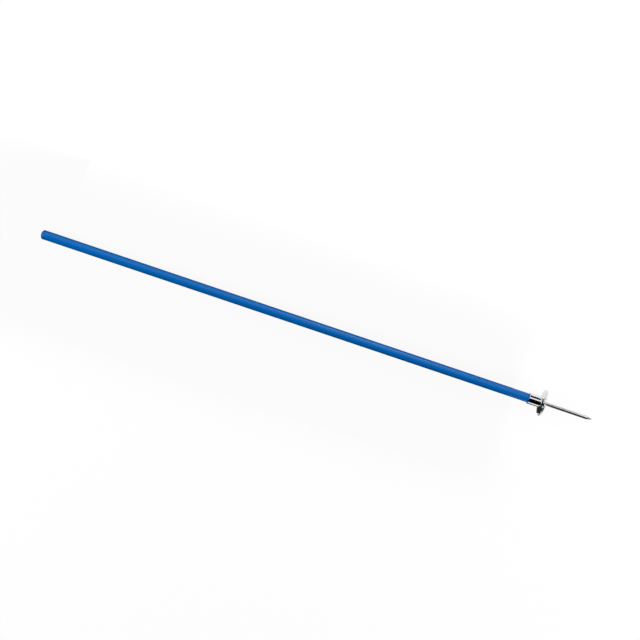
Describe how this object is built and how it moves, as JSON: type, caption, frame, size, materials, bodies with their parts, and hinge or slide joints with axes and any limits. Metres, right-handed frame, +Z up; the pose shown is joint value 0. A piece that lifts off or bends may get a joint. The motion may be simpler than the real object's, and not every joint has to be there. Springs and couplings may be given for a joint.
{
  "type": "slalom pole",
  "caption": "Slalom pole lying as put down: blue plastic tube with a domed end cap, pushed into a bright steel cup over a round step disc and a pointed ground spike.",
  "frame": {"origin": "on the floor, under the middle of the whole pole's box, with the pole lying as it is put down, on the rim of its step disc and the lip of its end cap", "axes": "+X along the floor from the end cap towards the spike, +Z up. The pole's own axis rises towards the spike by 0.966 degrees. The turf line, the middle of the disc's underside, is at (0.68569, 0, 0.03886) m, and the way up the planted pole from there is (-0.999858, 0, -0.016867)"},
  "size_m": [1.6762, 0.0776, 0.0776],
  "materials": {
    "blue_plastic": "satin extruded and moulded plastic, royal blue through and through",
    "bright_plate": "bright plated turned and blanked steel, with faint turning and handling marks",
    "spike_steel": "drawn and plated steel rod with a ground point",
    "zinc_plate": "zinc plated nut and spring washer"
  },
  "bodies": {
    "base": {"socket_cup": "bright_plate", "step_disc": "bright_plate", "spike": "spike_steel", "lock_washer": "zinc_plate", "spike_nut": "zinc_plate"},
    "pole": {"pole_tube": "blue_plastic", "top_cap": "blue_plastic"}
  },
  "joints": [
    {"name": "pole_pull", "type": "slide", "parent": "base", "child": "pole", "axis": [-0.9999, 0, -0.0169], "range_m": [0, 0.045]}
  ]
}
